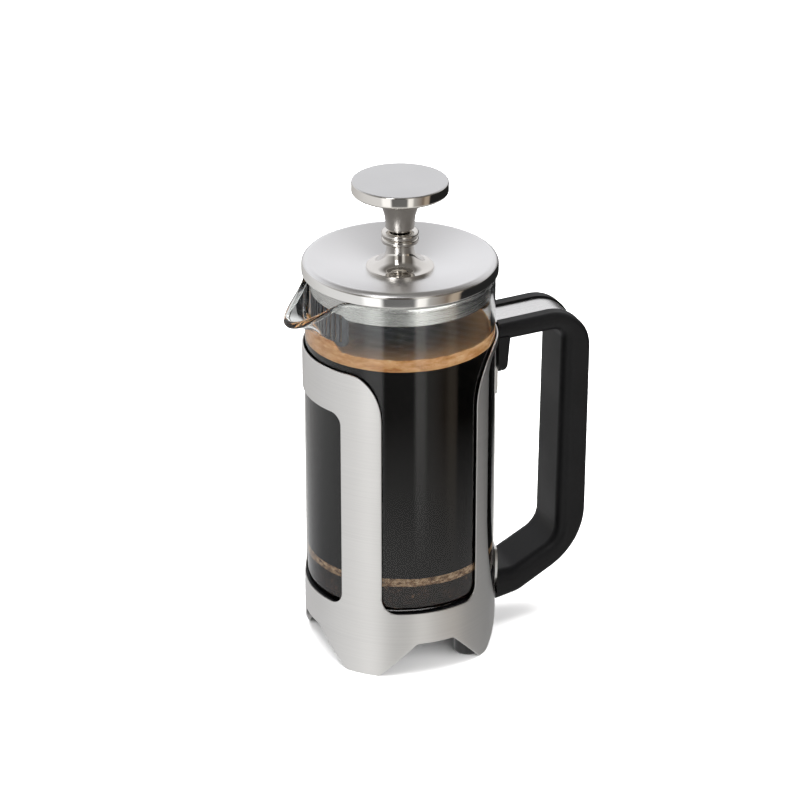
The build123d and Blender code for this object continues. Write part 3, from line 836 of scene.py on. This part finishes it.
def build_contents(inner_r):
    """Coffee, the froth on it, and the grounds with broken froth at the bottom."""
    wet = inner_r + 0.12 * MM
    base = GLASS_Z + BASE_T - 0.1 * MM
    outline = rounded([
        (0, base, 0),
        (wet, base, 3.4 * MM),
        (wet, COFFEE_TOP, 0),
        (0, COFFEE_TOP, 0),
    ])
    lathe("coffee_liquid", outline, COFFEE, "beaker")
    rings = 40
    segments = 300
    points = []
    for i in range(rings + 1):
        r = (wet + 0.04 * MM) * (0.07 + 0.93 * (i / rings) ** 0.8)
        for k in range(segments):
            angle = 2 * math.pi * k / segments
            x, y = r * math.cos(angle), r * math.sin(angle)
            points.append((x, y, crema_height(x, y)))
    floor_z = COFFEE_TOP - 0.05 * MM
    for k in range(segments):
        x, y, _ = points[rings * segments + k]
        points.append((x, y, floor_z + wobble(2 * math.pi * k / segments, 7, 0.12 * MM)))
    faces = []
    for i in range(rings + 1):
        for k in range(segments):
            n = (k + 1) % segments
            a = i * segments
            b = a + segments
            faces.append((a + k, b + k, b + n, a + n))
    add_mesh("crema", points, faces, CREMA, "beaker", 60)
    build_layer("low_froth", wet + 0.06 * MM, GROUNDS_TOP - 0.6 * MM, inner_r - 0.5 * MM,
                lambda a: LOW_FROTH_TOP + wobble(a, 11, 0.30 * MM), LOW_FROTH)
    floor_corner = base + 1.2 * MM
    grounds = rounded([
        (inner_r - 4 * MM, base - 0.02 * MM, 0),
        (wet + 0.03 * MM, base - 0.02 * MM, 3.4 * MM),
        (wet + 0.03 * MM, floor_corner + 3 * MM, 0),
        (inner_r - 4 * MM, floor_corner + 3 * MM, 0),
    ])
    lathe("grounds_base", grounds, GROUNDS, "beaker")
    build_layer("grounds", wet + 0.09 * MM, floor_corner + 2.6 * MM, inner_r - 0.5 * MM,
                lambda a: GROUNDS_TOP + wobble(a, 5, 0.42 * MM), GROUNDS)


# ------------------------------------------------------------------ lid, boss and knob

LID_RISE = 5.7 * MM
LID_MIDDLE = 0.9 * MM
KNOB_DISC = 4.5 * MM
KNOB_BORE = 3.0 * MM
ROD_R = 2.4 * MM


def build_lid():
    """Spun lid, dished towards the middle, with a polished rolled rim."""
    radius = high("lid_cap").y
    bottom = low("lid_cap").z
    top = bottom + LID_RISE
    sheet = 0.7 * MM
    hole = 5.05 * MM
    centre = bottom + LID_MIDDLE
    outline = rounded([
        (hole, centre - sheet, 0),
        (13.5 * MM, centre - sheet, 6 * MM),
        (radius - sheet, top - sheet - 0.1 * MM, 1.6 * MM),
        (radius - sheet, bottom, 0),
        (radius, bottom, 0.3 * MM),
        (radius, top, 2.3 * MM),
        (13.5 * MM, centre, 6 * MM),
        (hole, centre, 0),
    ], 5)
    lid = lathe("lid_shell", outline, LID, "lid", 256)
    lid.data.materials.append(LID_RIM)
    for face in lid.data.polygons:
        if face.center.xy.length > radius - 1.5 * MM and face.normal.z < 0.5:
            face.material_index = 1
    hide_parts("lid_cap")


def build_boss():
    """Trumpet-shaped boss with a double-ring collar."""
    bore = 3.56 * MM
    stub = 5.0 * MM
    bottom = low("lid_dome").z
    collar_top = high("lid_dome").z
    flange = high("lid_dome").x
    lid_z = low("lid_cap").z + LID_MIDDLE
    ring = 6.8 * MM
    outline = rounded([
        (bore, bottom, 0),
        (stub, bottom, 0.5 * MM),
        (stub, lid_z, 0),
        (flange, lid_z, 0),
        (flange, lid_z + 0.9 * MM, 0.4 * MM),
        (stub, lid_z + 2.0 * MM, 7 * MM),
        (stub, collar_top - 4.6 * MM, 0),
        (ring, collar_top - 4.6 * MM, 0.9 * MM),
        (ring, collar_top - 2.45 * MM, 0.9 * MM),
        (6.1 * MM, collar_top - 2.3 * MM, 0),
        (ring, collar_top - 2.15 * MM, 0.9 * MM),
        (ring, collar_top, 0.9 * MM),
        (bore, collar_top, 0),
    ], 6)
    boss = lathe("lid_boss", outline, CHROME, "lid", 160, 50)
    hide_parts("lid_dome")


def build_knob():
    """Flat knob on a flared shank: satin top, polished edge and shank."""
    top = high("knob").z
    radius = high("knob").x
    neck = low("knob").z
    disc = top - KNOB_DISC
    outline = rounded([
        (ROD_R, neck, 0),
        (4.4 * MM, neck, 0.2 * MM),
        (4.4 * MM, neck + 0.9 * MM, 0),
        (5.3 * MM, neck + 0.9 * MM, 0.2 * MM),
        (5.5 * MM, neck + 5.6 * MM, 14 * MM),
        (8.9 * MM, disc, 2.0 * MM),
        (radius, disc, 0.9 * MM),
        (radius, top, 0.6 * MM),
        (0, top, 0),
        (0, disc - KNOB_BORE, 0),
        (ROD_R, disc - KNOB_BORE, 0),
    ], 10)
    knob = lathe("press_knob", outline, CHROME, "plunger", 192)
    knob.data.materials.append(KNOB_TOP)
    for face in knob.data.polygons:
        if face.center.z > top - 0.2 * MM:
            face.material_index = 1
    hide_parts("knob")


# ------------------------------------------------------------------ filter

def build_filter_mesh():
    """Woven wire disc with a folded steel edge."""
    bottom = low("filter_mesh").z
    radius = high("filter_mesh").x
    rise = high("filter_mesh").z
    pitch = 1.25 * MM
    wire = 0.17 * MM
    reach = radius - 0.6 * MM
    count = int(reach / pitch)
    level = bottom + 0.2 * MM
    parts = []
    for direction in (0, 1):
        for i in range(-count, count + 1):
            offset = (i + 0.5 * direction) * pitch
            if abs(offset) > reach:
                continue
            half = math.sqrt(reach ** 2 - offset ** 2)
            steps = max(4, int(4 * half / pitch))
            path = []
            for k in range(steps + 1):
                along = -half + 2 * half * k / steps
                wave = math.sin(math.pi * along / pitch + math.pi * (i + direction))
                height = level + wire * 0.9 * wave * (1 if direction else -1)
                path.append((along, offset, height) if direction else (offset, along, height))
            parts.append(tube_along(path, wire, 5, False))
    verts, faces = joined(parts)
    woven = add_mesh("woven_mesh", verts, faces, WIRE, "plunger", 70)
    outline = rounded([
        (radius - 1.4 * MM, bottom, 0),
        (radius, bottom, 0.6 * MM),
        (radius, rise, 0),
        (radius - 0.4 * MM, rise, 0),
        (radius - 0.4 * MM, bottom + 0.4 * MM, 0.2 * MM),
        (radius - 1.4 * MM, bottom + 0.4 * MM, 0),
    ])
    rim = lathe("mesh_rim", outline, PLATE, "plunger")
    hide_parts("filter_mesh")


def build_filter_spring():
    """Coil spring wound round the filter's edge."""
    outer = high("filter_spring").x
    middle = (low("filter_spring").z + high("filter_spring").z) / 2
    coil = (high("filter_spring").z - low("filter_spring").z) / 2
    wire = 0.22 * MM
    turns = 118
    steps = 14
    centre = outer - coil
    path = []
    for k in range(turns * steps):
        around = 2 * math.pi * k / (turns * steps)
        spin = 2 * math.pi * k / steps
        r = centre + (coil - wire) * math.cos(spin)
        z = middle + (coil - wire) * math.sin(spin)
        path.append((r * math.cos(around), r * math.sin(around), z))
    verts, faces = tube_along(path, wire, 7, True)
    spring = add_mesh("coil_spring", verts, faces, WIRE, "plunger", 80)
    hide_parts("filter_spring")


# ------------------------------------------------------------------ studio

def add_floor():
    """Plain pale floor. Metal and glass see the studio's surroundings instead of it."""
    size = 4.0
    mesh = bpy.data.meshes.new("floor")
    corners = [(-size, -size, 0), (size, -size, 0), (size, size, 0), (-size, size, 0)]
    mesh.from_pydata(corners, [], [(0, 1, 2, 3)])
    s = Shader("floor", Roughness=0.7, Specular_IOR_Level=0.1)
    tone = s.noise(s.coordinates((3, 3, 3)), 1.0, 2.0)
    s.feed(Base_Color=s.ramp(tone, ((0.3, (0.90, 0.90, 0.90)), (0.7, (0.91, 0.91, 0.91)))))
    mesh.materials.append(s.material)
    floor = bpy.data.objects.new("floor", mesh)
    floor.visible_glossy = False
    floor.visible_transmission = False
    bpy.context.scene.collection.objects.link(floor)


def add_area(name, place, target, size, power):
    """Soft rectangular light aimed at a point."""
    data = bpy.data.lights.new(name, "AREA")
    data.shape = "RECTANGLE"
    data.size, data.size_y = size
    data.energy = power
    light = bpy.data.objects.new(name, data)
    light.location = place
    aim = Vector(target) - Vector(place)
    light.rotation_euler = aim.to_track_quat("-Z", "Y").to_euler()
    bpy.context.scene.collection.objects.link(light)
    return light


# Brightness and tint of the surroundings round the object, in degrees from the camera's
# side, counter-clockwise from above. SOFT_BANDS lie well below the horizon, SHARP_BANDS
# between those and the horizon, and SKY_BANDS above it: a dim room on the camera's side
# and a pale wall behind the object.
SOFT_BANDS = (
    (-180, (0.86, 0.86, 0.86)),
    (-160, (0.74, 0.74, 0.75)),
    (-110, (0.62, 0.62, 0.63)),
    (-75, (0.88, 0.88, 0.88)),
    (-30, (1.04, 1.03, 1.01)),
    (0, (0.96, 0.95, 0.93)),
    (40, (0.85, 0.84, 0.82)),
    (85, (0.64, 0.63, 0.62)),
    (140, (0.50, 0.50, 0.50)),
    (165, (0.70, 0.70, 0.70)),
    (180, (0.86, 0.86, 0.86)),
)
SHARP_BANDS = (
    (-180, (0.30, 0.30, 0.30)),
    (-150, (0.62, 0.61, 0.60)),
    (-95, (0.86, 0.86, 0.86)),
    (-46, (0.92, 0.92, 0.92)),
    (-40, (1.40, 1.40, 1.40)),
    (-23, (1.40, 1.40, 1.40)),
    (-18, (0.17, 0.17, 0.17)),
    (16, (0.19, 0.19, 0.19)),
    (21, (1.30, 1.28, 1.25)),
    (29, (1.20, 1.18, 1.14)),
    (34, (0.50, 0.49, 0.47)),
    (56, (0.24, 0.19, 0.15)),
    (63, (0.50, 0.42, 0.33)),
    (71, (0.46, 0.38, 0.30)),
    (76, (0.02, 0.02, 0.02)),
    (165, (0.02, 0.02, 0.02)),
)
DARK_ZENITH = (0.20, 0.19, 0.18)
SKY_BANDS = (
    (-180, (1.02, 1.02, 1.04)),
    (-120, (0.92, 0.92, 0.94)),
    (-80, (0.50, 0.49, 0.48)),
    (-45, (0.22, 0.21, 0.20)),
    (-30, (0.90, 0.88, 0.85)),
    (-20, (0.90, 0.88, 0.85)),
    (-12, (0.10, 0.09, 0.085)),
    (12, (0.10, 0.09, 0.085)),
    (20, (0.80, 0.78, 0.74)),
    (28, (0.80, 0.78, 0.74)),
    (42, (0.20, 0.18, 0.16)),
    (90, (0.12, 0.11, 0.10)),
    (120, (0.78, 0.77, 0.77)),
    (180, (1.02, 1.02, 1.04)),
)


def band_ramp(tree, turn, bands):
    """Colour ramp over the angle round the object."""
    node = tree.nodes.new("ShaderNodeValToRGB")
    fill_ramp(node.color_ramp, [((degrees + 180) / 360, colour) for degrees, colour in bands])
    tree.links.new(turn, node.inputs["Fac"])
    return node.outputs["Color"]


def add_world():
    """Surroundings: pale behind the object, darker on the camera's side, with panels below the horizon."""
    world = bpy.data.worlds.new("studio")
    world.use_nodes = True
    tree = world.node_tree
    background = tree.nodes["Background"]
    texture = tree.nodes.new("ShaderNodeTexCoord")
    mapping = tree.nodes.new("ShaderNodeMapping")
    mapping.inputs["Rotation"].default_value = (0, 0, -CAMERA_AZIMUTH + math.pi / 2)
    tree.links.new(texture.outputs["Generated"], mapping.inputs["Vector"])
    split = tree.nodes.new("ShaderNodeSeparateXYZ")
    tree.links.new(mapping.outputs["Vector"], split.inputs["Vector"])
    angle = tree.nodes.new("ShaderNodeMath")
    angle.operation = "ARCTAN2"
    tree.links.new(split.outputs["Y"], angle.inputs[0])
    tree.links.new(split.outputs["X"], angle.inputs[1])
    turn = tree.nodes.new("ShaderNodeMapRange")
    turn.inputs["From Min"].default_value = -math.pi
    turn.inputs["From Max"].default_value = math.pi
    tree.links.new(angle.outputs["Value"], turn.inputs["Value"])
    soft = band_ramp(tree, turn.outputs["Result"], SOFT_BANDS)
    sharp = band_ramp(tree, turn.outputs["Result"], SHARP_BANDS)
    sky = band_ramp(tree, turn.outputs["Result"], SKY_BANDS)

    def blend(low_z, high_z, first, second):
        """Changes from one colour to the other between two heights of the direction."""
        rise = tree.nodes.new("ShaderNodeMapRange")
        rise.inputs["From Min"].default_value = low_z
        rise.inputs["From Max"].default_value = high_z
        tree.links.new(split.outputs["Z"], rise.inputs["Value"])
        mix = tree.nodes.new("ShaderNodeMix")
        mix.data_type = "RGBA"
        tree.links.new(rise.outputs["Result"], mix.inputs["Factor"])
        for socket, colour in (("A", first), ("B", second)):
            target = next(i for i in mix.inputs if i.name == socket and i.type == "RGBA")
            if isinstance(colour, tuple):
                target.default_value = (*colour, 1)
            else:
                tree.links.new(colour, target)
        return next(o for o in mix.outputs if o.type == "RGBA")

    low = blend(-0.47, -0.43, soft, sharp)
    middle = blend(0.02, 0.12, low, sky)
    top = blend(0.62, 0.80, middle, DARK_ZENITH)
    tree.links.new(top, background.inputs["Color"])
    background.inputs["Strength"].default_value = 1.0
    bpy.context.scene.world = world


def add_studio():
    """Floor, surroundings and soft lights."""
    add_floor()
    add_world()
    middle = (0, 0, 0.09)
    add_area("key", (-1.1, -1.0, 1.5), middle, (0.5, 1.0), 6)
    for place, power in (((0.0, 0.2, 1.7), 85), ((0.5, -1.5, 0.5), 60), ((-1.5, 0.3, 0.6), 35)):
        soft = add_area("soft", place, middle, (1.8, 1.8), power)
        soft.visible_glossy = False
    view = bpy.context.scene.view_settings
    view.view_transform = "Standard"
    view.look = "None"


add_camera()
dress_cad_nodes()
build_sleeve()
build_contents(build_beaker())
build_lid()
build_boss()
build_knob()
build_filter_mesh()
build_filter_spring()
add_studio()
